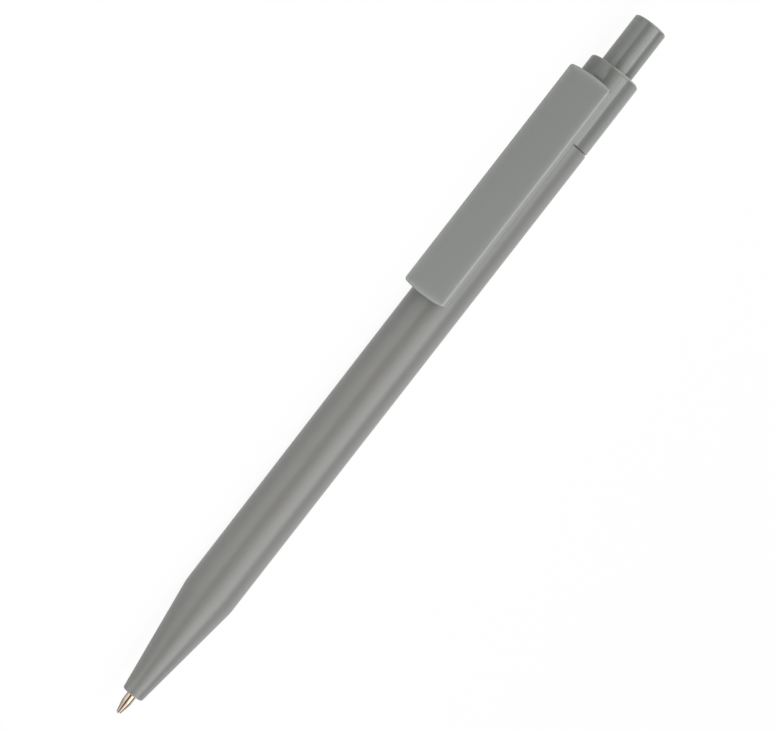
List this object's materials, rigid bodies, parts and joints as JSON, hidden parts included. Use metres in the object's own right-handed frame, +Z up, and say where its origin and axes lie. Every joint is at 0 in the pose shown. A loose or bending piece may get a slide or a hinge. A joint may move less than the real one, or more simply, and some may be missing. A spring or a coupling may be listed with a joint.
{
  "type": "ballpoint pen",
  "caption": "Slim retractable ballpoint pen with a drafted round barrel, conical nose, wide flat clip and a push button that clicks the tip in and out.",
  "frame": {"origin": "on the table, under the middle of the pen's bounding box as it lies on its barrel and the edge of its clip", "axes": "+X towards the writing tip, -Y the way the clip faces, +Z up from the table"},
  "size_m": [0.1404, 0.012, 0.0094],
  "materials": {
    "barrel_plastic": "satin moulded grey",
    "housing_plastic": "glossy moulded grey",
    "clip_plastic": "semi-matte moulded grey",
    "rotor_plastic": "natural white",
    "spring_steel": "drawn wire",
    "tube_plastic": "milky tube",
    "tip_metal": "turned and polished",
    "ball_metal": "ground",
    "ink": "paste ink",
    "grease": "clear grease"
  },
  "bodies": {
    "barrel": {"barrel": "barrel_plastic", "spring": "spring_steel"},
    "housing": {"upper_housing": "housing_plastic"},
    "clip": {"clip": "clip_plastic"},
    "button": {"push_button": "housing_plastic", "cam_rotor": "rotor_plastic"},
    "refill": {"refill_tube": "tube_plastic", "refill_tip": "tip_metal", "ink_column": "ink", "grease_plug": "grease"},
    "ball": {"writing_ball": "ball_metal"}
  },
  "joints": [
    {"name": "housing_off", "type": "slide", "parent": "barrel", "child": "housing", "axis": [-1, 0, 0], "range_m": [0, 0.03]},
    {"name": "clip_flex", "type": "hinge", "parent": "housing", "child": "clip", "pos_m": [-0.05292, -0.00322, 0.00431], "axis": [0, 0.0804, -0.9968], "range_deg": [0, 3.5], "stiffness_Nm_per_rad": 0.2},
    {"name": "button_click", "type": "slide", "parent": "housing", "child": "button", "axis": [-1, 0, 0], "range_m": [-0.0014, 0.0056]},
    {"name": "refill_slide", "type": "slide", "parent": "barrel", "child": "refill", "axis": [-1, 0, 0], "range_m": [-0.0014, 0.0056], "deforming": ["spring"]},
    {"name": "ball_roll", "type": "hinge", "parent": "refill", "child": "ball", "pos_m": [0.06988, 0.00137, 0.00468], "axis": [0, 1, 0], "continuous": true}
  ],
  "couplings": [
    {"joint": "refill_slide", "follows": "button_click", "ratio": 1}
  ]
}
